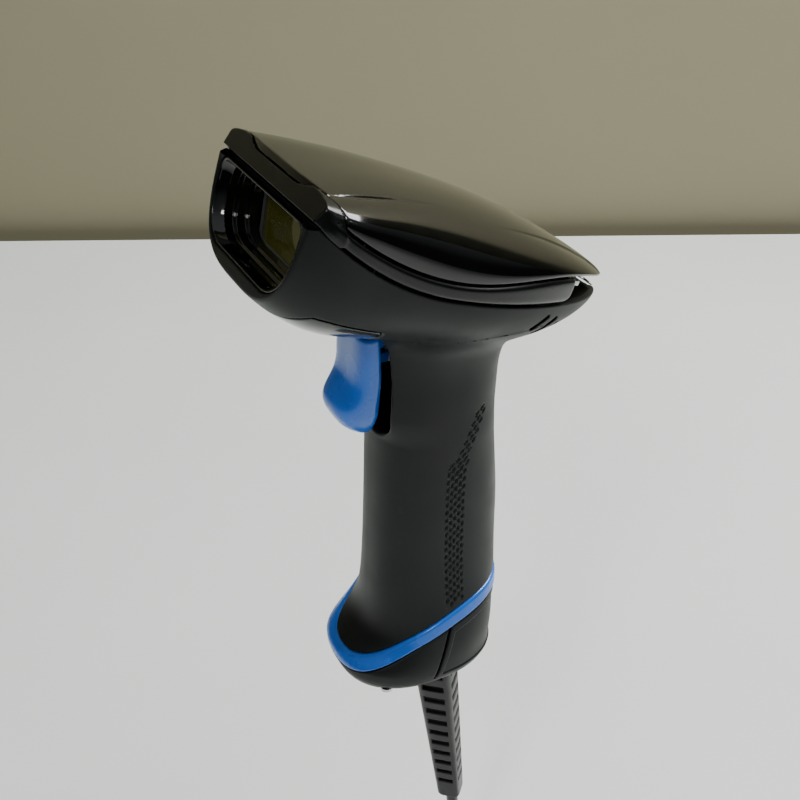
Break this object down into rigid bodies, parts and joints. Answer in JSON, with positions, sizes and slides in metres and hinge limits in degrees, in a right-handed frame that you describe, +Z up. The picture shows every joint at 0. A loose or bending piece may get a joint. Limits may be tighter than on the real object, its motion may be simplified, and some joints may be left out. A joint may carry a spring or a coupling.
{
  "type": "handheld barcode scanner",
  "caption": "Pistol-grip barcode scanner with tilted head, stepped window hood, glossy cover, blue trigger and ring, slotted cable boot and coiled USB cable",
  "frame": {"origin": "centre of the flat underside of the base", "axes": "+X is the way the scan window looks, +Y the scanner's left, +Z up the grip"},
  "size_m": [0.1098, 0.1161, 0.3175],
  "materials": {
    "body_plastic": "fine-grained satin moulding",
    "frame_plastic": "satin moulding with a soft sheen",
    "cover_gloss": "piano-black high gloss",
    "chin_gloss": "dark gloss",
    "window_tint": "coated olive-tinted acrylic",
    "soft_rubber": "matte",
    "blue_plastic": "bright blue gloss",
    "inner_plastic": "plain moulding",
    "lens_glass": "coated optical glass",
    "sensor_glass": "dark sensor cover",
    "circuit_board": "solder-masked laminate",
    "led_white": "clear-domed lamp",
    "led_red": "clear-domed lamp",
    "ivory_plastic": "plain moulding",
    "flex_film": "polyimide film",
    "steel": "nickel plated",
    "gold": "gold plated",
    "wire_sleeve": "coloured wire sleeve",
    "plug_clear": "clear moulding",
    "boot_rubber": "matte moulded rubber",
    "cable_rubber": "satin jacket",
    "tie_plastic": "nylon"
  },
  "bodies": {
    "scanner": {"main_body": "body_plastic", "upper_frame": "frame_plastic", "top_cover": "cover_gloss", "window_bezel": "cover_gloss", "scan_window": "window_tint", "window_gasket": "soft_rubber", "chin_plate": "chin_gloss", "base_ring": "blue_plastic", "base_shell": "body_plastic", "rear_door": "body_plastic", "bottom_cap": "body_plastic", "chassis": "inner_plastic", "engine_housing": "inner_plastic", "lens_barrel": "inner_plastic", "imaging_lens": "lens_glass", "image_sensor": "sensor_glass", "engine_board": "circuit_board", "illumination_leds": "led_white", "aimer": "led_red", "main_board": "circuit_board", "board_chips": "inner_plastic", "board_sockets": "ivory_plastic", "flex_cable": "flex_film", "buzzer": "inner_plastic", "trigger_bracket": "steel", "trigger_pin": "steel", "trigger_spring": "steel", "switch_board": "circuit_board", "trigger_switch": "inner_plastic", "jack_board": "circuit_board", "modular_jack": "inner_plastic", "jack_contacts": "gold", "wire_harness": "wire_sleeve", "frame_screws": "steel", "cap_screws": "steel", "board_screws": "steel", "bracket_screws": "steel"},
    "trigger": {"trigger": "blue_plastic"},
    "plunger": {"switch_plunger": "ivory_plastic"},
    "cable": {"cable_plug": "plug_clear", "plug_contacts": "gold", "strain_relief": "boot_rubber", "cable_jacket": "cable_rubber", "usb_overmould": "boot_rubber", "usb_shell": "steel", "usb_tongue": "ivory_plastic", "usb_contacts": "gold", "cable_tie": "tie_plastic"},
    "latch": {"plug_latch": "plug_clear"}
  },
  "joints": [
    {"name": "trigger_pull", "type": "hinge", "parent": "scanner", "child": "trigger", "pos_m": [0.014, 0, 0.1255], "axis": [0, 1, 0], "range_deg": [0, 6], "stiffness_Nm_per_rad": 0.2},
    {"name": "plunger_press", "type": "slide", "parent": "scanner", "child": "plunger", "axis": [-1, 0, 0], "range_m": [0, 0.0013]},
    {"name": "cable_unplug", "type": "slide", "parent": "scanner", "child": "cable", "axis": [-0.1478, 0, -0.989], "range_m": [0, 0.03]},
    {"name": "latch_press", "type": "hinge", "parent": "cable", "child": "latch", "pos_m": [-0.01124, 0, 0.01585], "axis": [0, -1, 0], "range_deg": [0, 5], "stiffness_Nm_per_rad": 0.02}
  ],
  "couplings": [
    {"joint": "plunger_press", "follows": "trigger_pull", "m_per_rad": 0.012}
  ]
}
